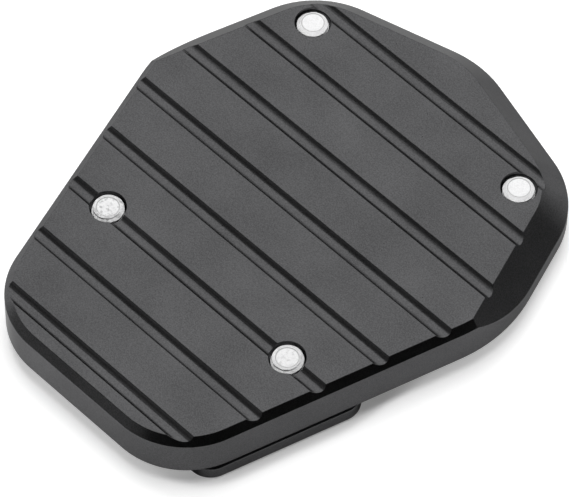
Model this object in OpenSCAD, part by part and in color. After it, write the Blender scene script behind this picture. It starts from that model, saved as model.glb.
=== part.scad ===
// Kickstand foot enlarger: a grooved, bevelled base plate, a fork-shaped clamp plate under it and four
// countersunk screws. It lies on its clamp plate with the grooved ground face up.
// Millimetres. Origin: centre of the length and width, on the surface that it lies on.

/* [Base plate outline] */
// Length from the narrow edge to the pointed tip, before the tip is rounded
tip_l = 103.6; // [98:0.2:112]
// Width of the narrow edge between its sharp corners
narrow_w = 47; // [42:0.5:52]
// Largest width between the sharp side corners
side_w = 86.6; // [82:0.2:92]
// Distance of the side corners from the narrow edge
side_y = 64.6; // [60:0.2:68]
// Width between the sharp shoulder corners
shoulder_w = 67; // [64:0.5:70]
// Distance of the shoulder corners from the narrow edge
shoulder_y = 94.2; // [91:0.2:96]
// Corner radius at the tip
tip_r = 22; // [12:1:28]
// Corner radius at the shoulders
shoulder_r = 18; // [12:1:22]
// Corner radius at the sides
side_r = 29; // [20:1:36]
// Corner radius at the narrow edge
narrow_r = 16; // [10:1:20]

/* [Base plate section] */
// Thickness of the base plate
plate_t = 9.2; // [8.4:0.2:12]
// Width of the broad bevel round the tip and the upper sides
bevel_w = 5; // [4:0.1:6]
// Depth of the broad bevel
bevel_d = 5.3; // [4:0.1:6]
// Width and depth of the narrow chamfer round the rest
chamfer = 1.4; // [0.8:0.1:2]
// Width of the broken edge along the underside
edge_break = 0.4; // [0.2:0.1:0.6]

/* [Grooves] */
// Number of grooves across the ground face
groove_n = 8; // [4:1:8]
// Distance from one groove to the next
groove_pitch = 12; // [10:0.5:12]
// Distance of the first groove from the narrow edge
groove_y = 5.2; // [4:0.1:8]
// Width of a groove at the face
groove_w = 3; // [2:0.1:4]
// Depth of a groove
groove_d = 0.65; // [0.4:0.05:1]

/* [Screws] */
// Thread diameter
screw_d = 6; // [5:0.5:6]
// Length of a screw with its head
screw_l = 12.4; // [12:0.1:13]
// Diameter of the countersunk head
head_d = 11.6; // [10:0.1:12]
// Height of the straight rim of the head
head_rim = 0.4; // [0.2:0.1:0.6]
// Across flats of the hexagon socket
socket_af = 4; // [3:0.5:4]
// Depth of the hexagon socket
socket_d = 1.8; // [1.2:0.1:2]
// Distance between the two screws at the wide end
wide_pair = 52.2; // [50:0.2:54]
// Distance between the two screws at the narrow end
narrow_pair = 45.4; // [45:0.2:48]
// Distance of the narrow pair from the narrow edge
narrow_pair_y = 29.9; // [28:0.1:32]
// Distance between the two pairs
pair_gap = 55.4; // [52:0.2:57]
// Depth of a screw end below the ground face
end_recess = 0.1; // [0.1:0.1:0.5]
// Depth of the cone at the mouth of each tapped hole
mouth_d = 0.5; // [0.3:0.1:0.8]
// Chamfer round the end of a screw
end_chamfer = 0.7; // [0.3:0.1:0.8]

/* [Clamp plate] */
// Thickness of the clamp plate
clamp_t = 4; // [3.6:0.1:5]
// Distance of its visible sides inside the base plate
clamp_inset = 0.3; // [0.2:0.1:0.8]
// Distance of its lower end from the narrow edge of the base plate
clamp_end_y = 7.1; // [6:0.1:9]
// Distance of the top of its broad end from the narrow edge of the base plate
clamp_ear_y = 40.1; // [37:0.1:42]
// Width across its two arms
arms_w = 65; // [63:0.5:67]
// Distance of the arm ends from the narrow edge of the base plate
arms_y = 92.4; // [92:0.1:93]
// Corner radius of the broad end
clamp_r = 4.5; // [3:0.5:6]
// Corner radius of the arm ends
arm_r = 7; // [5:0.5:8]
// Width of the slot between the arms, for the leg of the stand
slot_w = 29; // [24:0.5:31]
// Distance of the centre of the slot's round end from the narrow edge
slot_y = 50; // [46:0.5:56]

/* [Pocket for the foot of the stand] */
// Width of the pocket at its narrow end
pocket_narrow_w = 34; // [32:0.5:36]
// Width of the pocket at its wide end
pocket_wide_w = 41; // [38:0.5:42]
// Distance of the pocket's narrow end from the narrow edge
pocket_y = 26; // [22:0.5:30]
// Length of the pocket
pocket_l = 60; // [54:0.5:62]
// Depth of the pocket in the base plate
pocket_d = 4.5; // [3.5:0.1:5]
// Corner radius of the pocket
pocket_r = 9; // [6:0.5:12]

/* [Hidden] */
$fn = 96;

// Unit direction from point a to point b
function toward(a, b) = (b - a) / norm(b - a);
// Compass angle of a direction
function heading(v) = atan2(v[1], v[0]);

// Rounded outlines: a list of sharp corners [x, y, radius], counter-clockwise and convex.
// Each corner becomes [centre, first tangent point, last tangent point, radius, first angle, turn].
function corner_of(pts, i) =
    let (
        n = len(pts),
        p = [pts[i][0], pts[i][1]],
        a = [pts[(i + n - 1) % n][0], pts[(i + n - 1) % n][1]],
        b = [pts[(i + 1) % n][0], pts[(i + 1) % n][1]],
        r = pts[i][2],
        back = toward(p, a),
        ahead = toward(p, b),
        half = acos(back * ahead) / 2
    )
    [
        p + toward([0, 0], back + ahead) * r / sin(half),
        p + back * r / tan(half),
        p + ahead * r / tan(half),
        r,
        heading([-back[1], back[0]]),
        180 - 2 * half
    ];
function corners_of(pts) = [for (i = [0 : len(pts) - 1]) corner_of(pts, i)];

// Sharp corners of the base plate measured from the middle of its narrow edge
plate_pts_0 = [
    [narrow_w / 2, 0, narrow_r],
    [side_w / 2, side_y, side_r],
    [shoulder_w / 2, shoulder_y, shoulder_r],
    [0, tip_l, tip_r],
    [-shoulder_w / 2, shoulder_y, shoulder_r],
    [-side_w / 2, side_y, side_r],
    [-narrow_w / 2, 0, narrow_r]
];
// How much the corner radius takes off the sharp tip
tip_drop = tip_r * (1 / cos(atan2(tip_l - shoulder_y, shoulder_w / 2)) - 1);
plate_l = tip_l - tip_drop;
// Place of the narrow edge along Y
y0 = -plate_l / 2;
plate_pts = [for (p = plate_pts_0) [p[0], p[1] + y0, p[2]]];

total_t = clamp_t + plate_t;
thread_r = screw_d / 2;
head_cone_h = head_d / 2 - thread_r;
screw_top = total_t - end_recess;
head_z = screw_top - screw_l;
side_slope = (side_w - narrow_w) / 2 / side_y;
side_lean = sqrt(1 + side_slope * side_slope);
screw_xy = [
    [-wide_pair / 2, y0 + narrow_pair_y + pair_gap],
    [wide_pair / 2, y0 + narrow_pair_y + pair_gap],
    [-narrow_pair / 2, y0 + narrow_pair_y],
    [narrow_pair / 2, y0 + narrow_pair_y]
];
groove_r = (groove_w * groove_w / 4 + groove_d * groove_d) / (2 * groove_d);
// Width and depth of each kind of bevel
broad = [bevel_w, bevel_d];
narrow = [chamfer, chamfer];
broken = [edge_break, edge_break];
// Clear height of a cutting tool over the faces that it cuts
over = 1;
// How far a bevel's tool reaches out of its edge
reach_out = 0.5;
// How far a round corner stands out past the straights beside it, so that their surfaces cross
ease = 0.01;

// Half the width of the base plate on its lower sides, at a distance from the narrow edge
function lower_half(y) = narrow_w / 2 + side_slope * y;

ear_pts = [
    [lower_half(clamp_end_y) - clamp_inset * side_lean, y0 + clamp_end_y, clamp_r],
    [lower_half(clamp_ear_y) - clamp_inset * side_lean, y0 + clamp_ear_y, clamp_r],
    [-lower_half(clamp_ear_y) + clamp_inset * side_lean, y0 + clamp_ear_y, clamp_r],
    [-lower_half(clamp_end_y) + clamp_inset * side_lean, y0 + clamp_end_y, clamp_r]
];
arm_pts = [
    [arms_w / 2 - clamp_r, y0 + narrow_pair_y, clamp_r],
    [arms_w / 2, y0 + clamp_ear_y, arm_r],
    [arms_w / 2, y0 + arms_y, arm_r],
    [-arms_w / 2, y0 + arms_y, arm_r],
    [-arms_w / 2, y0 + clamp_ear_y, arm_r],
    [-arms_w / 2 + clamp_r, y0 + narrow_pair_y, clamp_r]
];
pocket_pts = [
    [pocket_narrow_w / 2, y0 + pocket_y, pocket_r],
    [pocket_wide_w / 2, y0 + pocket_y + pocket_l, pocket_r],
    [-pocket_wide_w / 2, y0 + pocket_y + pocket_l, pocket_r],
    [-pocket_narrow_w / 2, y0 + pocket_y, pocket_r]
];

// Area inside an outline of rounded corners
module rounded(corners) {
    union() {
        polygon([for (c = corners) each [c[1], c[2]]]);
        for (c = corners)
            translate(c[0])
                circle(c[3] + ease);
    }
}

// Tool that cuts a bevel into the straight from corner a to corner b of a face at z = 0, and runs out over
// both corners
module edge_tool(a, b, bevel) {
    run = toward(a[2], b[1]);
    before = norm(a[2] - a[1]) + over;
    after = norm(b[2] - b[1]) + over;
    slope = bevel[1] / bevel[0];
    translate(b[1] + run * after)
        rotate([90, 0, heading(run) - 90])
            linear_extrude(before + norm(b[1] - a[2]) + after)
                polygon([
                    [-bevel[0] - over, slope * over],
                    [reach_out, -slope * (bevel[0] + reach_out)],
                    [reach_out, slope * over]
                ]);
}

// Tool that rounds a corner of a plate t thick, with a bevel above and a broken edge below
module corner_tool(c, t, bevel) {
    r = c[3] + ease;
    slope = bevel[1] / bevel[0];
    far = c[3] / cos(c[5] / 2) + over;
    translate(c[0])
        rotate(c[4])
            rotate_extrude(angle = c[5])
                polygon([
                    [r - edge_break + ease - over, -over],
                    [far, -over],
                    [far, t + over],
                    [r - bevel[0] + (ease - over) / slope, t + over],
                    [r, t - bevel[1] + ease],
                    [r, edge_break - ease]
                ]);
}

// Plate t thick on an outline of rounded corners. Each corner, and each straight that follows it, has its own
// bevel above, and all have a broken edge below.
module bevelled_plate(pts, t, corner_bevels, edge_bevels) {
    n = len(pts);
    corners = corners_of(pts);
    difference() {
        difference() {
            linear_extrude(t)
                polygon([for (p = pts) [p[0], p[1]]]);
            for (i = [0 : n - 1]) {
                translate([0, 0, t])
                    edge_tool(corners[i], corners[(i + 1) % n], edge_bevels[i]);
                mirror([0, 0, 1])
                    edge_tool(corners[i], corners[(i + 1) % n], broken);
            }
        }
        for (i = [0 : n - 1])
            corner_tool(corners[i], t, corner_bevels[i]);
    }
}

module base_plate() {
    color("dimgray")
        difference() {
            translate([0, 0, clamp_t])
                bevelled_plate(
                    plate_pts,
                    plate_t,
                    [narrow, narrow, broad, broad, broad, narrow, narrow],
                    [narrow, broad, broad, broad, broad, narrow, narrow]
                );
            for (i = [0 : groove_n - 1])
                translate([0, y0 + groove_y + i * groove_pitch, total_t - groove_d + groove_r])
                    rotate([0, 90, 0])
                        cylinder(h = side_w + 2 * over, r = groove_r, center = true);
            translate([0, 0, clamp_t - over])
                linear_extrude(pocket_d + over)
                    rounded(corners_of(pocket_pts));
            for (p = screw_xy)
                translate(p) {
                    translate([0, 0, clamp_t - over])
                        cylinder(h = plate_t + 2 * over, d = screw_d);
                    translate([0, 0, total_t - mouth_d])
                        cylinder(h = mouth_d + over, r1 = thread_r, r2 = thread_r + mouth_d + over);
                }
        }
}

module clamp_plate() {
    color("dimgray")
        difference() {
            union() {
                for (pts = [ear_pts, arm_pts])
                    bevelled_plate(
                        pts,
                        clamp_t,
                        [for (p = pts) broken],
                        [for (p = pts) broken]
                    );
            }
            linear_extrude(3 * clamp_t, center = true)
                translate([0, y0 + slot_y])
                    union() {
                        circle(d = slot_w);
                        translate([-slot_w / 2, 0])
                            square([slot_w, plate_l]);
                    }
            for (p = screw_xy)
                translate([p[0], p[1], -over]) {
                    cylinder(h = clamp_t + 2 * over, d = screw_d);
                    cylinder(h = head_z + head_rim + over, d = head_d);
                    translate([0, 0, over + head_z + head_rim])
                        cylinder(h = head_cone_h, r1 = head_d / 2, r2 = thread_r);
                }
        }
}

// Countersunk screw with its head down and its end up
module screw(p) {
    color("silver")
        translate([p[0], p[1], head_z])
            difference() {
                union() {
                    cylinder(h = head_rim, d = head_d);
                    translate([0, 0, head_rim])
                        cylinder(h = head_cone_h, r1 = head_d / 2, r2 = thread_r);
                    cylinder(h = screw_l - end_chamfer, d = screw_d);
                    translate([0, 0, screw_l - end_chamfer])
                        cylinder(h = end_chamfer, r1 = thread_r, r2 = thread_r - end_chamfer);
                }
                translate([0, 0, -over])
                    cylinder(h = socket_d + over, d = socket_af / cos(30), $fn = 6);
            }
}

module screw_wide_left() { screw(screw_xy[0]); }
module screw_wide_right() { screw(screw_xy[1]); }
module screw_narrow_left() { screw(screw_xy[2]); }
module screw_narrow_right() { screw(screw_xy[3]); }

base_plate();
clamp_plate();
screw_wide_left();
screw_wide_right();
screw_narrow_left();
screw_narrow_right();
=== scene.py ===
"""Kickstand foot enlarger on white: a black anodised base plate with eight grooves and a broad bevel, a
fork-shaped clamp plate under it, and four countersunk screws. It lies on the clamp plate, ground face up."""

import math

import bmesh
import bpy
from mathutils import Matrix, Vector


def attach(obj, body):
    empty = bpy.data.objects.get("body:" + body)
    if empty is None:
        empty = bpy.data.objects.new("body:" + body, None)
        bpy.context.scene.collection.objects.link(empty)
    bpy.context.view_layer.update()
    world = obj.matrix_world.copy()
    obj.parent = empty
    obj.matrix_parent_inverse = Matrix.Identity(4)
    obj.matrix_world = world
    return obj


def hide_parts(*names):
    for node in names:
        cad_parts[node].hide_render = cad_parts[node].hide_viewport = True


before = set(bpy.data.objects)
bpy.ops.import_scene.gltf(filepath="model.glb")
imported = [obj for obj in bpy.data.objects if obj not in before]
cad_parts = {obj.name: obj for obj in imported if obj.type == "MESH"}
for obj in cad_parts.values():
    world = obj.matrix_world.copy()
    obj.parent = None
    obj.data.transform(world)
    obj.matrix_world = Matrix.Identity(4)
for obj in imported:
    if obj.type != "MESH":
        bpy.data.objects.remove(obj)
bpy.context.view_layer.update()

# Sizes in millimetres, as in the CAD source. Pieces are made in millimetres and scaled to metres at the end.
MM = 0.001
PLATE_L = 102.75
NARROW_END = -PLATE_L / 2
CLAMP_T = 4.0
PLATE_T = 9.2
GROUND_FACE = CLAMP_T + PLATE_T
# Corners of the outline's right side, and its tip: x, distance from the narrow end, radius
PLATE_SIDE = [(23.5, 0, 16), (43.3, 64.6, 29), (33.5, 94.2, 18)]
PLATE_TIP = (0, 103.6, 22)
# Half the width of the narrow end and of the plate
NARROW_HALF = PLATE_SIDE[0][0]
PLATE_HALF = PLATE_SIDE[1][0]
# Width and depth of each kind of bevel. LEANING is the clamp plate's upper edge, which makes the joint dark.
BROAD = (5, 5.3)
NARROW = (1.4, 1.4)
BROKEN = (0.4, 0.4)
LEANING = (1.05, 1.05)

GROOVE_COUNT = 8
GROOVE_PITCH = 12
GROOVE_FIRST = 5.2
GROOVE_W = 3
GROOVE_D = 0.65
GROOVE_R = (GROOVE_W**2 / 4 + GROOVE_D**2) / (2 * GROOVE_D)

SCREW_R = 3
SCREW_L = 12.4
SCREW_SUNK = 0.1
SCREW_Z = GROUND_FACE - SCREW_SUNK - SCREW_L
HEAD_R = 5.8
HEAD_RIM = 0.4
HEAD_CONE = HEAD_R - SCREW_R
HEAD_EDGE = 0.08
# Width and depth of the shallow cone round the end of a screw, and half width and depth of the ring inside it
END_CONE = (0.86, 0.42)
END_RING = (0.1, 0.18)
END_DOME = 0.01
SOCKET_FLATS = 4
SOCKET_D = 1.8
SOCKET_TIP = 0.6
MOUTH_D = 0.5
HOLE_CLEAR = 0.38
THREAD_PITCH = 1.0
THREAD_DEPTH = 0.58
# Steepness of the thread's flanks, and how much of each is left flat as its crest
THREAD_FLANK = 1.3
THREAD_CREST = 0.15
# How far the crests lie inside the screw's radius, and the bare shaft between head and thread
CREST_GAP = 0.02
BARE_SHAFT = 0.2
# Points nearer the axis than this belong to the end or the socket, not to the thread
THREAD_CORE = 2.0
# Keeps a height above zero, whole pitches up, and a radius off it
ABOVE_ZERO = 100.0
NOT_ZERO = 0.001
# Rows of points along the shaft and along the cone at its end
SHAFT_ROWS = 80
CONE_ROWS = 8
# The narrow pair's distance from the narrow end, and the place of the right screw of each pair
NARROW_PAIR_Y = 29.9
WIDE_SCREW = (26.1, NARROW_END + 85.3)
NARROW_SCREW = (22.7, NARROW_END + NARROW_PAIR_Y)

SIDE_SLOPE = (PLATE_HALF - NARROW_HALF) / PLATE_SIDE[1][1]
CLAMP_INSET = 0.3 * math.hypot(1, SIDE_SLOPE)
EAR = (7.1, 40.1)
EAR_R = 4.5
ARMS_X = 32.5
ARMS_Y = 92.4
ARM_R = 7
SLOT_R = 14.5
SLOT_Y = 50

POCKET_SIDE = [(17, 26, 9), (20.5, 86, 9)]
POCKET_D = 4.5

# How far a cutting tool stands clear of the face that it cuts
CLEAR = 1
# Largest turn between two flats of a rounded corner, in degrees
ARC_STEP = 3
# Steps round a hole or a screw
ROUND_STEPS = 72
# Rounding of the plates' edges, that of the base plate's lowest ones, which end at LOWEST_TOP, and the least
# fold that counts as an edge
EDGE_ROUND = 0.09
LOWEST_ROUND = 0.22
LOWEST_TOP = CLAMP_T + 0.45
EDGE_FOLD = math.radians(18)
# Faces that meet at less than this are one flat face
FLAT = math.radians(0.3)
# Points this near a cutting plane lie on it
ON_PLANE = 1e-4
# Edges this short are left over from cutting and are closed up: bevels, cut plates, screws
BEVEL_SLIVER = 0.002
PLATE_SLIVER = 0.004
SCREW_SLIVER = 0.005

# The camera that the photograph was matched with: roll, tilt and turn in radians, the point in view, the
# camera's place from there along its own axes, both in millimetres, and the lens on its sensor
CAMERA_ROLL = -0.0143546
CAMERA_TILT = -0.604959
CAMERA_TURN = -0.774341
CAMERA_AIM = (0, 6.205, GROUND_FACE)
CAMERA_OFFSET = (-4.0497, -10.2342, 908.04)
CAMERA_LENS = 320.5
CAMERA_SENSOR = 36
# Nearest and farthest that it sees, in metres
CAMERA_CLIP = (0.05, 20)


def place_camera():
    """Camera at the photograph's viewing angle."""
    from_world = (
        Matrix.Rotation(CAMERA_ROLL, 3, "Z")
        @ Matrix.Rotation(CAMERA_TILT, 3, "X")
        @ Matrix.Rotation(CAMERA_TURN, 3, "Z")
    )
    to_world = from_world.transposed()
    data = bpy.data.cameras.new("camera")
    data.sensor_fit = "HORIZONTAL"
    data.sensor_width = CAMERA_SENSOR
    data.lens = CAMERA_LENS
    data.clip_start, data.clip_end = CAMERA_CLIP
    camera = bpy.data.objects.new("camera", data)
    bpy.context.scene.collection.objects.link(camera)
    spot = (Vector(CAMERA_AIM) + to_world @ Vector(CAMERA_OFFSET)) * MM
    camera.matrix_world = Matrix.Translation(spot) @ to_world.to_4x4()
    bpy.context.scene.camera = camera


# Node trees


def put(tree, kind, inputs=None, **settings):
    """Adds a node. Inputs are values or sockets, keyed by name or number."""
    node = tree.nodes.new(kind)
    for key, value in settings.items():
        setattr(node, key, value)
    for key, value in (inputs or {}).items():
        if isinstance(value, bpy.types.NodeSocket):
            tree.links.new(value, node.inputs[key])
        else:
            node.inputs[key].default_value = value
    return node


def calc(tree, operation, a, b=0.0, clamp=False):
    """Output of a Math node."""
    kind = "ShaderNodeMath"
    return put(tree, kind, {0: a, 1: b}, operation=operation, use_clamp=clamp).outputs[0]


def ramp(tree, value, start, steepness):
    """Rises from 0 at the start to 1, or falls from 1 to 0 there if the steepness is negative."""
    return calc(tree, "MULTIPLY", calc(tree, "SUBTRACT", value, start), steepness, clamp=True)


def from_axis(tree, x, y):
    """Distance from the Z axis."""
    return calc(tree, "SQRT", calc(tree, "ADD", calc(tree, "POWER", x, 2.0), calc(tree, "POWER", y, 2.0)))


def new_tree(kind, name, inputs, outputs):
    """Node tree with named sockets, its input node and its output node."""
    tree = bpy.data.node_groups.new(name, kind)
    for in_out, sockets in (("INPUT", inputs), ("OUTPUT", outputs)):
        for label, socket_type in sockets:
            tree.interface.new_socket(name=label, in_out=in_out, socket_type="NodeSocket" + socket_type)
    return tree, tree.nodes.new("NodeGroupInput"), tree.nodes.new("NodeGroupOutput")


def run_tree(obj, tree, values):
    """Runs a geometry tree on an object, with values for its named inputs, and makes the result plain."""
    modifier = obj.modifiers.new(tree.name, "NODES")
    modifier.node_group = tree
    for item in tree.interface.items_tree:
        if item.in_out == "INPUT" and item.name in values:
            modifier[item.identifier] = values[item.name]
    return made_plain(obj)


# Solids


def made_plain(obj):
    """Turns an object's evaluated result into its own mesh and removes its modifiers."""
    graph = bpy.context.evaluated_depsgraph_get()
    made = bpy.data.meshes.new_from_object(obj.evaluated_get(graph), depsgraph=graph)
    made.name = obj.name
    obj.modifiers.clear()
    obj.data = made
    return obj


def merged(obj, distance):
    """Mesh data of an object, with points this close together made one."""
    data = bmesh.new()
    data.from_mesh(obj.data)
    bmesh.ops.remove_doubles(data, verts=data.verts[:], dist=distance)
    return data


def store(data, mesh):
    """Writes mesh data to a mesh and frees it."""
    data.to_mesh(mesh)
    data.free()


def solid(name, mesh_data):
    """Object in the scene made from a bmesh, with its faces pointing outwards."""
    bmesh.ops.recalc_face_normals(mesh_data, faces=mesh_data.faces[:])
    mesh = bpy.data.meshes.new(name)
    store(mesh_data, mesh)
    obj = bpy.data.objects.new(name, mesh)
    bpy.context.scene.collection.objects.link(obj)
    return obj


def combine(obj, tools, operation="DIFFERENCE"):
    """Cuts each tool from an object, or joins it on, and deletes the tools."""
    for tool in tools:
        modifier = obj.modifiers.new(tool.name, "BOOLEAN")
        modifier.operation = operation
        modifier.solver = "EXACT"
        modifier.object = tool
    made_plain(obj)
    for tool in tools:
        bpy.data.objects.remove(tool)
    return obj


def from_narrow_end(corners):
    """Corners measured from the narrow end, moved to the part's own origin."""
    return [(x, y + NARROW_END, r) for x, y, r in corners]


def mirrored(corners):
    """The same corners on the left side, in the order that goes on round the outline."""
    return [(-x, y, r) for x, y, r in corners[::-1]]


def rounded_outline(corners, corner_cuts, side_cuts):
    """Points round a convex outline with rounded corners, and the bevel of the side that starts at each."""
    points = []
    cuts = []
    for i, (x, y, radius) in enumerate(corners):
        corner = Vector((x, y))
        back = (Vector(corners[i - 1][:2]) - corner).normalized()
        ahead = (Vector(corners[(i + 1) % len(corners)][:2]) - corner).normalized()
        half = back.angle(ahead) / 2
        centre = corner + (back + ahead).normalized() * radius / math.sin(half)
        spoke = corner + back * radius / math.tan(half) - centre
        turn = math.pi - 2 * half
        steps = math.ceil(math.degrees(turn) / ARC_STEP)
        for step in range(steps + 1):
            points.append(centre + Matrix.Rotation(turn * step / steps, 2) @ spoke)
            cuts.append(side_cuts[i] if step == steps else corner_cuts[i])
    return points, cuts


def prism(name, points, low, high):
    """Straight solid on an outline."""
    return solid(name, prism_data(points, low, high))


def prism_data(points, low, high):
    """Mesh data of a straight solid on an outline."""
    data = bmesh.new()
    bottom = [data.verts.new((x, y, low)) for x, y in points]
    top = [data.verts.new((x, y, high)) for x, y in points]
    data.faces.new(bottom[::-1])
    data.faces.new(top)
    for k in range(len(points)):
        data.faces.new((bottom[k - 1], bottom[k], top[k], top[k - 1]))
    return data


def slice_off(data, point, outwards):
    """Cuts away what lies beyond a plane and closes the cut."""
    everything = data.verts[:] + data.edges[:] + data.faces[:]
    cut = bmesh.ops.bisect_plane(
        data, geom=everything, dist=ON_PLANE, plane_co=point, plane_no=outwards, clear_outer=True
    )
    rim = [e for e in cut["geom_cut"] if isinstance(e, bmesh.types.BMEdge) and e.is_boundary]
    if rim:
        bmesh.ops.edgeloop_fill(data, edges=rim)


def bevelled_plate(name, corners, corner_cuts, side_cuts, low, high):
    """Plate on a rounded outline. Each side and corner has its own bevel above, and all have a broken edge
    below. A broad bevel runs out over a corner with a narrow one, because each bevel is one straight cut."""
    points, cuts = rounded_outline(corners, corner_cuts, side_cuts)
    data = prism_data(points, low, high)
    for k, cut in enumerate(cuts):
        a = points[k]
        along = points[(k + 1) % len(points)] - a
        for (width, depth), face, up in ((cut, high, 1), (BROKEN, low, -1)):
            out = along.normalized() * depth
            slice_off(data, (a.x, a.y, face - up * depth), (out.y, -out.x, up * width))
    bmesh.ops.dissolve_degenerate(data, dist=BEVEL_SLIVER, edges=data.edges[:])
    return solid(name, data)


def turned(name, profile, steps=ROUND_STEPS):
    """Solid turned about Z from pairs of radius and height that start and end on the axis."""
    data = bmesh.new()
    rings = []
    for radius, height in profile:
        angles = [math.tau * k / steps for k in range(steps if radius else 1)]
        rings.append([data.verts.new((radius * math.cos(a), radius * math.sin(a), height)) for a in angles])
    for lower, upper in zip(rings, rings[1:]):
        for k in range(steps):
            around = [lower[k % len(lower)], lower[(k + 1) % len(lower)]]
            around += [upper[(k + 1) % len(upper)], upper[k % len(upper)]]
            data.faces.new(list(dict.fromkeys(around)))
    return solid(name, data)


def at_screws(make):
    """One tool at each screw hole."""
    tools = []
    for x, y in (WIDE_SCREW, NARROW_SCREW):
        for side in (-1, 1):
            tool = make()
            tool.data.transform(Matrix.Translation((side * x, y, 0)))
            tools.append(tool)
    return tools


def round_edges(obj, widths):
    """Rounds every folded edge, and marks the faces of the roundings with the attribute worn_edge. Each pair
    in widths is a height and the rounding of the edges below it."""
    data = merged(obj, PLATE_SLIVER)
    bmesh.ops.dissolve_degenerate(data, dist=PLATE_SLIVER, edges=data.edges[:])
    bmesh.ops.dissolve_limit(data, angle_limit=FLAT, verts=data.verts[:], edges=data.edges[:])
    marks = data.faces.layers.float.new("worn_edge")
    for height, width in widths:
        folded = [e for e in data.edges if len(e.link_faces) == 2 and e.calc_face_angle() > EDGE_FOLD]
        low = [e for e in folded if max(v.co.z for v in e.verts) < height]
        rounded = bmesh.ops.bevel(
            data, geom=low, offset=width, segments=3, profile=0.5, affect="EDGES", clamp_overlap=False
        )
        for face in rounded["faces"]:
            face[marks] = 1.0
    for face in data.faces:
        face.smooth = True
    store(data, obj.data)


def finished(obj, node, material):
    """Gives a piece its even normals, its size in metres and its material, in the place of its CAD node."""
    weighted = obj.modifiers.new("even normals", "WEIGHTED_NORMAL")
    weighted.mode = "FACE_AREA"
    weighted.weight = 100
    made_plain(obj)
    obj.data.transform(Matrix.Scale(MM, 4))
    obj.data.materials.clear()
    obj.data.materials.append(material)
    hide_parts(node)
    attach(obj, "root")


# Grooves


def groove_tree(material):
    """Geometry tree for a row of cylinders across the plate, one for each groove."""
    inputs = [("Geometry", "Geometry"), ("Count", "Int"), ("Pitch", "Float"), ("First", "Vector")]
    inputs += [("Radius", "Float"), ("Length", "Float")]
    tree, given, result = new_tree("GeometryNodeTree", "groove cutters", inputs, [("Geometry", "Geometry")])
    step = put(tree, "ShaderNodeCombineXYZ", {"Y": given.outputs["Pitch"]})
    places = {
        "Count": given.outputs["Count"],
        "Start Location": given.outputs["First"],
        "Offset": step.outputs[0],
    }
    row = put(tree, "GeometryNodeMeshLine", places)
    cutter = put(
        tree,
        "GeometryNodeMeshCylinder",
        {"Vertices": ROUND_STEPS, "Radius": given.outputs["Radius"], "Depth": given.outputs["Length"]},
    )
    across = put(
        tree, "GeometryNodeTransform", {"Geometry": cutter.outputs["Mesh"], "Rotation": (0, math.pi / 2, 0)}
    )
    copies = put(
        tree,
        "GeometryNodeInstanceOnPoints",
        {"Points": row.outputs["Mesh"], "Instance": across.outputs["Geometry"]},
    )
    real = put(tree, "GeometryNodeRealizeInstances", {"Geometry": copies.outputs["Instances"]})
    finish = put(
        tree, "GeometryNodeSetMaterial", {"Geometry": real.outputs["Geometry"], "Material": material}
    )
    tree.links.new(finish.outputs["Geometry"], result.inputs["Geometry"])
    return tree


def groove_cutters(material):
    """The tool that cuts all grooves."""
    cutters = solid("groove_cutters", bmesh.new())
    values = {
        "Count": GROOVE_COUNT,
        "Pitch": float(GROOVE_PITCH),
        "First": (0.0, NARROW_END + GROOVE_FIRST, GROUND_FACE - GROOVE_D + GROOVE_R),
        "Radius": GROOVE_R,
        "Length": 2 * PLATE_HALF + 2 * CLEAR,
    }
    return run_tree(cutters, groove_tree(material), values)


# Plates


def make_base_plate(material):
    """Grooved base plate with its pocket for the foot of the stand and four tapped holes."""
    plate = bevelled_plate(
        "base_plate_piece",
        from_narrow_end(PLATE_SIDE + [PLATE_TIP] + mirrored(PLATE_SIDE)),
        [NARROW, NARROW, BROAD, BROAD, BROAD, NARROW, NARROW],
        [NARROW, BROAD, BROAD, BROAD, BROAD, NARROW, NARROW],
        CLAMP_T,
        GROUND_FACE,
    )
    corners = from_narrow_end(POCKET_SIDE + mirrored(POCKET_SIDE))
    plain = [None] * len(corners)
    pocket = rounded_outline(corners, plain, plain)[0]
    mouth = GROUND_FACE - 2 * MOUTH_D
    mouth_r = SCREW_R + HOLE_CLEAR
    hole = [(0, CLAMP_T - CLEAR), (SCREW_R, CLAMP_T - CLEAR), (SCREW_R, mouth - HOLE_CLEAR)]
    hole += [(mouth_r, mouth), (mouth_r, GROUND_FACE + CLEAR), (0, GROUND_FACE + CLEAR)]
    tools = [groove_cutters(material), prism("pocket", pocket, CLAMP_T - CLEAR, CLAMP_T + POCKET_D)]
    tools += at_screws(lambda: turned("hole", hole))
    combine(plate, tools)
    round_edges(plate, [(LOWEST_TOP, LOWEST_ROUND), (2 * GROUND_FACE, EDGE_ROUND)])
    finished(plate, "base_plate", material)


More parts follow.
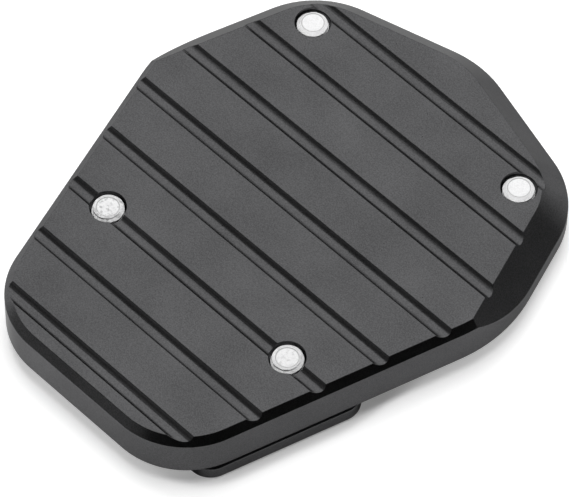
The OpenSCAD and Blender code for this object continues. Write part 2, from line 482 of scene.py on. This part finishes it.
def make_clamp_plate(material):
    """Fork-shaped clamp plate: a broad ear at the narrow end and two arms with a slot between them."""
    ear = [(NARROW_HALF + SIDE_SLOPE * y - CLAMP_INSET, y, EAR_R) for y in EAR]
    arms = [(ARMS_X - EAR_R, NARROW_PAIR_Y, EAR_R), (ARMS_X, EAR[1], ARM_R), (ARMS_X, ARMS_Y, ARM_R)]
    parts = []
    for name, right_side in (("clamp_plate_piece", ear), ("arms", arms)):
        corners = from_narrow_end(right_side + mirrored(right_side))
        cuts = [LEANING] * len(corners)
        parts.append(bevelled_plate(name, corners, cuts, cuts, 0, CLAMP_T))
    plate = combine(parts[0], [parts[1]], "UNION")
    turn = [math.pi + math.pi * k / ROUND_STEPS for k in range(ROUND_STEPS + 1)]
    slot_y = NARROW_END + SLOT_Y
    slot = [Vector((SLOT_R * math.cos(a), slot_y + SLOT_R * math.sin(a))) for a in turn]
    slot += [Vector((SLOT_R, PLATE_L)), Vector((-SLOT_R, PLATE_L))]
    rim = SCREW_Z + HEAD_RIM
    hole = [(0, -CLEAR), (HEAD_R, -CLEAR), (HEAD_R, rim), (SCREW_R, rim + HEAD_CONE)]
    hole += [(SCREW_R, CLAMP_T + CLEAR), (0, CLAMP_T + CLEAR)]
    tools = [prism("slot", slot, -CLEAR, CLAMP_T + CLEAR)] + at_screws(lambda: turned("hole", hole))
    combine(plate, tools)
    round_edges(plate, [(2 * CLAMP_T, EDGE_ROUND)])
    finished(plate, "clamp_plate", material)


# Screws


def screw_tree(material):
    """Geometry tree that cuts a thread into the shaft of a turned blank, keeps its coordinates about its own
    axis as the attribute about_axis, and sets it in its hole."""
    inputs = [("Geometry", "Geometry"), ("Place", "Vector"), ("Turn", "Float"), ("Pitch", "Float")]
    inputs += [("Depth", "Float"), ("Thread radius", "Float"), ("Thread start", "Float")]
    inputs += [("Soil", "Float")]
    tree, given, result = new_tree("GeometryNodeTree", "screw", inputs, [("Geometry", "Geometry")])
    spot = put(tree, "GeometryNodeInputPosition").outputs[0]
    x, y, z = put(tree, "ShaderNodeSeparateXYZ", {0: spot}).outputs
    radius = from_axis(tree, x, y)
    rise_per_turn = calc(tree, "DIVIDE", given.outputs["Pitch"], math.tau)
    rise = calc(tree, "MULTIPLY", calc(tree, "ARCTAN2", y, x), rise_per_turn)
    along = calc(tree, "SUBTRACT", calc(tree, "ADD", z, ABOVE_ZERO), rise)
    half_pitch = calc(tree, "MULTIPLY", given.outputs["Pitch"], 0.5)
    from_crest = calc(tree, "PINGPONG", along, half_pitch)
    flank = calc(tree, "MULTIPLY", calc(tree, "DIVIDE", from_crest, half_pitch), THREAD_FLANK)
    fall = calc(tree, "SUBTRACT", flank, THREAD_CREST, clamp=True)
    cut_by = calc(tree, "MULTIPLY", fall, given.outputs["Depth"])
    kept = calc(tree, "MINIMUM", radius, calc(tree, "SUBTRACT", given.outputs["Thread radius"], cut_by))
    on_shaft = calc(tree, "GREATER_THAN", z, given.outputs["Thread start"])
    outer = calc(tree, "GREATER_THAN", radius, THREAD_CORE)
    chosen = calc(tree, "MULTIPLY", on_shaft, outer)
    scale = calc(tree, "DIVIDE", kept, calc(tree, "MAXIMUM", radius, NOT_ZERO))
    moved = {0: calc(tree, "MULTIPLY", x, scale), 1: calc(tree, "MULTIPLY", y, scale), 2: z}
    flat = put(tree, "ShaderNodeCombineXYZ", moved)
    threaded = put(
        tree,
        "GeometryNodeSetPosition",
        {"Geometry": given.outputs["Geometry"], "Selection": chosen, "Position": flat.outputs[0]},
    )
    here = put(tree, "GeometryNodeInputPosition").outputs[0]
    stored = put(
        tree,
        "GeometryNodeStoreNamedAttribute",
        {"Geometry": threaded.outputs[0], "Name": "about_axis", "Value": here},
        data_type="FLOAT_VECTOR",
        domain="POINT",
    )
    soiled = put(
        tree,
        "GeometryNodeStoreNamedAttribute",
        {"Geometry": stored.outputs[0], "Name": "soil", "Value": given.outputs["Soil"]},
        data_type="FLOAT",
        domain="POINT",
    )
    turn = put(tree, "ShaderNodeCombineXYZ", {2: given.outputs["Turn"]})
    set_in = put(
        tree,
        "GeometryNodeTransform",
        {"Geometry": soiled.outputs[0], "Translation": given.outputs["Place"], "Rotation": turn.outputs[0]},
    )
    real = put(tree, "GeometryNodeRealizeInstances", {"Geometry": set_in.outputs[0]})
    finish = put(tree, "GeometryNodeSetMaterial", {"Geometry": real.outputs[0], "Material": material})
    tree.links.new(finish.outputs[0], result.inputs[0])
    return tree


def screw_blank():
    """Countersunk screw without its thread, head at z = 0, with a hexagon socket and a fine ring round the
    flat of its end."""
    foot = HEAD_RIM + HEAD_CONE
    width, depth = END_CONE
    shaft = SCREW_L - depth - foot
    flat = SCREW_R - width
    ring_w, ring_d = END_RING
    profile = [(0, 0), (HEAD_R - HEAD_EDGE, 0), (HEAD_R, HEAD_EDGE), (HEAD_R, HEAD_RIM), (SCREW_R, foot)]
    profile += [(SCREW_R, foot + shaft * k / SHAFT_ROWS) for k in range(1, SHAFT_ROWS + 1)]
    profile += [
        (SCREW_R - width * k / CONE_ROWS, SCREW_L - depth + depth * k / CONE_ROWS)
        for k in range(1, CONE_ROWS + 1)
    ]
    profile += [(flat - ring_w, SCREW_L - ring_d), (flat - 2 * ring_w, SCREW_L)]
    profile += [(flat / 2, SCREW_L + END_DOME), (0, SCREW_L)]
    blank = turned("screw_blank", profile)
    socket_r = SOCKET_FLATS / 2 / math.cos(math.pi / 6)
    bottom = SOCKET_D + SOCKET_TIP
    socket = turned("socket", [(0, -CLEAR), (socket_r, -CLEAR), (socket_r, SOCKET_D), (0, bottom)], 6)
    combine(blank, [socket])
    store(merged(blank, SCREW_SLIVER), blank.data)
    return blank


def make_screws(material):
    """The four screws. Each has its place, its turn in degrees and its share of soil."""
    tree = screw_tree(material)
    blank = screw_blank()
    homes = {
        "screw_wide_left": (-WIDE_SCREW[0], WIDE_SCREW[1], 310, 0.1),
        "screw_wide_right": (WIDE_SCREW[0], WIDE_SCREW[1], 320, 0.1),
        "screw_narrow_left": (-NARROW_SCREW[0], NARROW_SCREW[1], 100, 1.0),
        "screw_narrow_right": (NARROW_SCREW[0], NARROW_SCREW[1], 115, 0.45),
    }
    for node, (x, y, turn, soil) in homes.items():
        screw = bpy.data.objects.new(node + "_piece", blank.data.copy())
        bpy.context.scene.collection.objects.link(screw)
        values = {
            "Place": (x, y, SCREW_Z),
            "Turn": math.radians(turn),
            "Pitch": THREAD_PITCH,
            "Depth": THREAD_DEPTH,
            "Thread radius": SCREW_R - CREST_GAP,
            "Thread start": HEAD_RIM + HEAD_CONE + BARE_SHAFT,
            "Soil": soil,
        }
        run_tree(screw, tree, values)
        for face in screw.data.polygons:
            face.use_smooth = True
        finished(screw, node, material)
    bpy.data.objects.remove(blank)


# Materials


# Size of the fine grain against the broad one, and the share of each in the mix
FINE_TO_BROAD = 0.02
FINE_SHARE = 0.75
BROAD_SHARE = 0.25
# A noise's middle value
MIDDLE = 0.5
# Worn patches: noise scale per metre, the noise value where they start and how sharply
PATCH_SCALE = 700.0
PATCH_START = 0.56
PATCH_SHARP = 12.0
# Pits: cells per metre, radius of a pit in cells and how sharp its rim is
PIT_SCALE = 330.0
PIT_R = 0.04
PIT_SHARP = 60.0
# Soil on the screws: noise scale per metre and sharpness of its patches
SOIL_SCALE = 1300.0
SOIL_SHARP = 5.0
# Lathe rings: waves per millimetre times tau, and their height against the grain's
RING_WAVES = 26.0
RING_HEIGHT = 0.2
# Painted shade in the ring groove of a screw's end, a darker ring: the ring's radius in millimetres, how fast
# it fades, and its share
RING_SHADE_R = 2.06
RING_SHADE_FADE = 6.0
RING_SHADE = 0.9


def grain_group():
    """Fine satin grain of a blasted surface: tone, roughness and height."""
    inputs = [("Vector", "Vector"), ("Size", "Float"), ("Tone", "Color"), ("Spread", "Float")]
    inputs += [("Roughness", "Float"), ("Roughness spread", "Float")]
    outputs = [("Color", "Color"), ("Roughness", "Float"), ("Height", "Float")]
    tree, given, result = new_tree("ShaderNodeTree", "satin grain", inputs, outputs)
    fine_scale = calc(tree, "DIVIDE", 1.0, given.outputs["Size"])
    broad_scale = calc(tree, "DIVIDE", FINE_TO_BROAD, given.outputs["Size"])
    fine = put(
        tree,
        "ShaderNodeTexNoise",
        {"Vector": given.outputs["Vector"], "Scale": fine_scale, "Detail": 3.0, "Roughness": 0.6},
    ).outputs[0]
    broad = put(
        tree,
        "ShaderNodeTexNoise",
        {"Vector": given.outputs["Vector"], "Scale": broad_scale, "Detail": 2.0},
    ).outputs[0]
    fine_part = calc(tree, "MULTIPLY", fine, FINE_SHARE)
    both = calc(tree, "ADD", fine_part, calc(tree, "MULTIPLY", broad, BROAD_SHARE))
    off_middle = calc(tree, "SUBTRACT", both, MIDDLE)
    swing = calc(tree, "MULTIPLY", off_middle, given.outputs["Spread"])
    tone = put(
        tree,
        "ShaderNodeVectorMath",
        {0: given.outputs["Tone"], "Scale": calc(tree, "ADD", swing, 1.0)},
        operation="SCALE",
    ).outputs[0]
    rough_swing = calc(tree, "MULTIPLY", off_middle, given.outputs["Roughness spread"])
    tree.links.new(tone, result.inputs["Color"])
    tree.links.new(calc(tree, "ADD", given.outputs["Roughness"], rough_swing), result.inputs["Roughness"])
    tree.links.new(fine, result.inputs["Height"])
    return tree


def wear_group():
    """Masks of where the dark coat has worn off the edges, and of the stray pits in it."""
    inputs = [("Vector", "Vector"), ("Edge", "Float"), ("Edge amount", "Float"), ("Pit amount", "Float")]
    outputs = [("Worn", "Float"), ("Pits", "Float")]
    tree, given, result = new_tree("ShaderNodeTree", "worn edges and pits", inputs, outputs)
    where = given.outputs["Vector"]
    patches = {"Vector": where, "Scale": PATCH_SCALE, "Detail": 4.0}
    patchy = put(tree, "ShaderNodeTexNoise", patches).outputs[0]
    nicked = ramp(tree, patchy, PATCH_START, PATCH_SHARP)
    amount = calc(tree, "MULTIPLY", given.outputs["Edge"], given.outputs["Edge amount"])
    cells = put(tree, "ShaderNodeTexVoronoi", {"Vector": where, "Scale": PIT_SCALE}).outputs
    near = ramp(tree, cells["Distance"], PIT_R, -PIT_SHARP)
    picked = put(tree, "ShaderNodeSeparateColor", {0: cells["Color"]}).outputs[0]
    rare = calc(tree, "LESS_THAN", picked, given.outputs["Pit amount"])
    tree.links.new(calc(tree, "MULTIPLY", nicked, amount), result.inputs["Worn"])
    tree.links.new(calc(tree, "MULTIPLY", near, rare), result.inputs["Pits"])
    return tree


def new_material(name):
    """Empty material, its tree and its Principled shader."""
    material = bpy.data.materials.new(name)
    material.use_nodes = True
    tree = material.node_tree
    return material, tree, tree.nodes["Principled BSDF"]


def matt_glowing(name, grey, roughness):
    """Matt material of this grey that can glow white: material, tree and shader."""
    material, tree, shader = new_material(name)
    shader.inputs["Base Color"].default_value = (grey, grey, grey, 1)
    shader.inputs["Roughness"].default_value = roughness
    shader.inputs["Specular IOR Level"].default_value = 0.0
    shader.inputs["Emission Color"].default_value = (1, 1, 1, 1)
    return material, tree, shader


def dress(tree, shader, colour, roughness, height, relief):
    """Gives a shader its colour, its roughness and its fine relief, whose full height is in metres."""
    bump = put(tree, "ShaderNodeBump", {"Strength": 1.0, "Distance": relief, "Height": height})
    tree.links.new(colour, shader.inputs["Base Color"])
    tree.links.new(roughness, shader.inputs["Roughness"])
    tree.links.new(bump.outputs[0], shader.inputs["Normal"])


def anodised(name, grain, wear, tone, pit_amount):
    """Black anodised aluminium with a satin grain and lightly worn edges."""
    material, tree, shader = new_material(name)
    place = put(tree, "ShaderNodeTexCoord").outputs["Object"]
    look = {
        "Vector": place,
        "Size": 0.00025,
        "Tone": tone,
        "Spread": 1.9,
        "Roughness": 0.3,
        "Roughness spread": 0.12,
    }
    satin = put(tree, "ShaderNodeGroup", look, node_tree=grain)
    edge = put(tree, "ShaderNodeAttribute", attribute_name="worn_edge").outputs["Fac"]
    amounts = {"Vector": place, "Edge": edge, "Edge amount": 0.06, "Pit amount": pit_amount}
    worn = put(tree, "ShaderNodeGroup", amounts, node_tree=wear)
    colour = satin.outputs["Color"]
    for mask, under in (("Worn", (0.4, 0.4, 0.41, 1)), ("Pits", (0.015, 0.015, 0.015, 1))):
        layer = {"Factor": worn.outputs[mask], 6: colour, 7: under}
        colour = put(tree, "ShaderNodeMix", layer, data_type="RGBA").outputs[2]
    dress(tree, shader, colour, satin.outputs["Roughness"], satin.outputs["Height"], relief=0.000006)
    shader.inputs["Metallic"].default_value = 1.0
    shader.inputs["Specular Tint"].default_value = (0.54, 0.54, 0.54, 1)
    return material


def bright_steel(name, grain):
    """Bright steel of the screws, with faint rings from the lathe."""
    material, tree, shader = new_material(name)
    about = put(tree, "ShaderNodeAttribute", attribute_name="about_axis").outputs["Vector"]
    x, y = put(tree, "ShaderNodeSeparateXYZ", {0: about}).outputs[:2]
    radius = from_axis(tree, x, y)
    wave = calc(tree, "SINE", calc(tree, "MULTIPLY", radius, RING_WAVES))
    metres = put(tree, "ShaderNodeVectorMath", {0: about, "Scale": MM}, operation="SCALE").outputs[0]
    look = {
        "Vector": metres,
        "Size": 0.0003,
        "Tone": (0.96, 0.96, 0.965, 1),
        "Spread": 0.5,
        "Roughness": 0.4,
        "Roughness spread": 0.15,
    }
    satin = put(tree, "ShaderNodeGroup", look, node_tree=grain)
    place = put(tree, "ShaderNodeTexCoord").outputs["Object"]
    blotch = put(tree, "ShaderNodeTexNoise", {"Vector": place, "Scale": SOIL_SCALE, "Detail": 3.0}).outputs[0]
    soil = put(tree, "ShaderNodeAttribute", attribute_name="soil").outputs["Fac"]
    smudge = calc(tree, "MULTIPLY", ramp(tree, blotch, MIDDLE, SOIL_SHARP), soil)
    # A darker ring over the groove round the flat of the end: painted shade
    off_ring = calc(tree, "ABSOLUTE", calc(tree, "SUBTRACT", radius, RING_SHADE_R))
    ring = calc(tree, "SUBTRACT", 1.0, calc(tree, "MULTIPLY", off_ring, RING_SHADE_FADE), clamp=True)
    # Darker where there is dirt, and in the ring groove, where the darkening is painted shade
    soiled = calc(tree, "MAXIMUM", smudge, calc(tree, "MULTIPLY", ring, RING_SHADE))
    layer = {"Factor": soiled, 6: satin.outputs["Color"], 7: (0.5, 0.5, 0.5, 1)}
    colour = put(tree, "ShaderNodeMix", layer, data_type="RGBA").outputs[2]
    height = calc(tree, "ADD", satin.outputs["Height"], calc(tree, "MULTIPLY", wave, RING_HEIGHT))
    dress(tree, shader, colour, satin.outputs["Roughness"], height, relief=0.000005)
    shader.inputs["Metallic"].default_value = 0.1
    return material


# Studio


# The room's brightness as a light, and what the eye sees beyond that
ROOM_LIGHT = 0.45
ROOM_SEEN = 0.55
# Half the side of the floor, and its gap to the part's underside, in metres
FLOOR_HALF = 3
FLOOR_GAP = 0.00004
# Rays this short come from the part's underside. Diffuse ones may be longer by HEAD_REACH, because they light
# the screw heads from below.
UNDERSIDE_RAY = 10 * FLOOR_GAP
HEAD_REACH = 0.003
# The floor's glow for the eye near the part, kept low there as a painted shadow round the part, and how much
# more away from it: from what distance, how fast
NEAR_GLOW = 0.47
CLEAR_GLOW = 0.6
CLEAR_START = 0.06
CLEAR_FADE = 25.0
# The floor's glow in metal, and how much more towards the front left, which is painted light that only metal
# mirrors: from what distance, how fast
METAL_GLOW = 0.07
FRONT_GLOW = 0.4
FRONT_START = 0.025
FRONT_FADE = 50.0
# The sum of x and y times this is the distance towards the front left
DIAGONAL = -0.7
# The painted contact shadow, a dark line in the floor's glow where the part stands: its reach, the openness
# where it starts and how sharply, its depth, and the band across the part in which it shows
LINE_REACH = 0.005
LINE_START = 0.8
LINE_SHARP = 6.0
LINE_DEPTH = 0.27
BAND_OFFSET = 0.005
BAND_TOP = 1.6
BAND_FADE = 45.0
# Distance of the dark cloths from the part in metres, their grey, and the steps along each side of one
FLAG_DISTANCE = 0.6
FLAG_GREY = 0.02
FLAG_STEPS = 12
# The lamp's place and size in metres, and its power in watts
LAMP_PLACE = (-0.08, -0.14, 1.0)
LAMP_SIZE = 0.8
LAMP_POWER = 12.2


def in_mirror(tree, path):
    """1 for rays that a surface mirrors or lets through."""
    return calc(tree, "MAXIMUM", path["Is Glossy Ray"], path["Is Transmission Ray"])


def light_world():
    """White all round for the eye and in mirrors, and softer as a light."""
    world = bpy.data.worlds.new("white room")
    bpy.context.scene.world = world
    world.use_nodes = True
    tree = world.node_tree
    path = put(tree, "ShaderNodeLightPath").outputs
    shown = calc(tree, "MAXIMUM", path["Is Camera Ray"], in_mirror(tree, path))
    level = calc(tree, "ADD", calc(tree, "MULTIPLY", shown, ROOM_SEEN), ROOM_LIGHT)
    tree.links.new(level, tree.nodes["Background"].inputs["Strength"])
    tree.nodes["Background"].inputs["Color"].default_value = (1, 1, 1, 1)


def painted_contact_shadow(tree, forward):
    """Painted contact shadow: 0 in the open, and below 0 on the floor close under the part's walls, in a band
    across its middle.
    """
    openness = put(tree, "ShaderNodeAmbientOcclusion", {"Distance": LINE_REACH}, samples=24).outputs["AO"]
    closed = ramp(tree, openness, LINE_START, -LINE_SHARP)
    off_band = calc(tree, "ABSOLUTE", calc(tree, "ADD", forward, BAND_OFFSET))
    band = calc(tree, "SUBTRACT", BAND_TOP, calc(tree, "MULTIPLY", off_band, BAND_FADE), clamp=True)
    return calc(tree, "MULTIPLY", calc(tree, "MULTIPLY", closed, band), -LINE_DEPTH)


def floor_glow(tree, path):
    """How strongly the floor glows. The eye sees it glow less near the part, a painted shadow round it, with
    a painted contact shadow under the near walls, and white away from it. Metal mirrors it dark, with painted
    light on it towards the front left."""
    place = put(tree, "ShaderNodeTexCoord").outputs["Object"]
    away = put(tree, "ShaderNodeVectorMath", {0: place}, operation="LENGTH").outputs["Value"]
    x, y = put(tree, "ShaderNodeSeparateXYZ", {0: place}).outputs[:2]
    forward = calc(tree, "MULTIPLY", calc(tree, "ADD", x, y), DIAGONAL)
    # Painted light on the floor towards the front left, seen only in metal
    front = calc(tree, "MULTIPLY", ramp(tree, forward, FRONT_START, FRONT_FADE), FRONT_GLOW)
    metal_glow_and_painted_light = calc(tree, "MULTIPLY", calc(tree, "ADD", front, METAL_GLOW), in_mirror(tree, path))
    # Less glow near the part: a painted shadow round it
    clear = calc(tree, "MULTIPLY", ramp(tree, away, CLEAR_START, CLEAR_FADE), CLEAR_GLOW)
    seen = calc(tree, "ADD", clear, calc(tree, "ADD", painted_contact_shadow(tree, forward), NEAR_GLOW))
    return calc(tree, "ADD", metal_glow_and_painted_light, calc(tree, "MULTIPLY", path["Is Camera Ray"], seen))


def lay_floor():
    """White floor that keeps the object's shadow. It lies a hair below the part. It can't be seen from below,
    and rays from the part's underside, which are far shorter than the rest, pass it."""
    data = bmesh.new()
    bmesh.ops.create_grid(data, x_segments=1, y_segments=1, size=FLOOR_HALF)
    floor = solid("floor", data)
    for corner in floor.data.vertices:
        corner.co.z = -FLOOR_GAP
    material, tree, shader = matt_glowing("white floor", 0.85, 0.9)
    path = put(tree, "ShaderNodeLightPath").outputs
    tree.links.new(floor_glow(tree, path), shader.inputs["Emission Strength"])
    reach = calc(tree, "ADD", calc(tree, "MULTIPLY", path["Is Diffuse Ray"], HEAD_REACH), UNDERSIDE_RAY)
    short = calc(tree, "LESS_THAN", path["Ray Length"], reach)
    below = put(tree, "ShaderNodeNewGeometry").outputs["Backfacing"]
    open_air = put(tree, "ShaderNodeBsdfTransparent").outputs[0]
    layers = {0: calc(tree, "MAXIMUM", short, below), 1: shader.outputs[0], 2: open_air}
    both = put(tree, "ShaderNodeMixShader", layers).outputs[0]
    tree.links.new(both, tree.nodes["Material Output"].inputs["Surface"])
    floor.data.materials.append(material)


def hang_flag(name, turn, rise, level):
    """Dark cloth on a curved frame round the part, for its metal to mirror. It spans two angles round the
    part and two above the floor, in degrees. Its level is how strongly it glows."""
    data = bmesh.new()
    rows = []
    for j in range(FLAG_STEPS + 1):
        up = math.radians(rise[0] + (rise[1] - rise[0]) * j / FLAG_STEPS)
        row = []
        for k in range(FLAG_STEPS + 1):
            round_by = math.radians(turn[0] + (turn[1] - turn[0]) * k / FLAG_STEPS)
            flat = Vector((math.cos(round_by), math.sin(round_by), 0)) * math.cos(up)
            row.append(data.verts.new((flat + Vector((0, 0, math.sin(up)))) * FLAG_DISTANCE))
        rows.append(row)
    for lower, upper in zip(rows, rows[1:]):
        for k in range(FLAG_STEPS):
            data.faces.new((lower[k], lower[k + 1], upper[k + 1], upper[k]))
    flag = solid(name, data)
    material, _, shader = matt_glowing(name, FLAG_GREY, 1.0)
    shader.inputs["Emission Strength"].default_value = level
    flag.data.materials.append(material)
    flag.visible_camera = False


def hang_lamp():
    """One large soft lamp overhead. The metal mirrors the room and not the lamp."""
    data = bpy.data.lights.new("soft lamp", "AREA")
    data.shape = "DISK"
    data.size = LAMP_SIZE
    data.energy = LAMP_POWER
    lamp = bpy.data.objects.new("soft lamp", data)
    bpy.context.scene.collection.objects.link(lamp)
    lamp.location = LAMP_PLACE
    lamp.rotation_euler = (-lamp.location).to_track_quat("-Z", "Y").to_euler()
    lamp.visible_glossy = False


place_camera()
grain = grain_group()
wear = wear_group()
plate_black = anodised("black anodised plate", grain, wear, (0.112, 0.112, 0.115, 1), 0.12)
clamp_black = anodised("black anodised clamp", grain, wear, (0.095, 0.095, 0.098, 1), 0.1)
make_base_plate(plate_black)
make_clamp_plate(clamp_black)
make_screws(bright_steel("bright steel", grain))
light_world()
lay_floor()
hang_flag("flag_right", (-90, 36), (1, 70), 0.003)
hang_flag("flag_side", (36, 60), (1, 70), 0.07)
hang_flag("flag_front", (-165, -90), (33, 74), 0.07)
hang_flag("flag_front_low", (-150, -90), (1, 33), 0.22)
hang_flag("flag_back", (60, 95), (1, 25), 0.05)
hang_flag("flag_back_low", (95, 150), (1, 14), 0.03)
hang_lamp()
bpy.context.scene.view_settings.view_transform = "Standard"
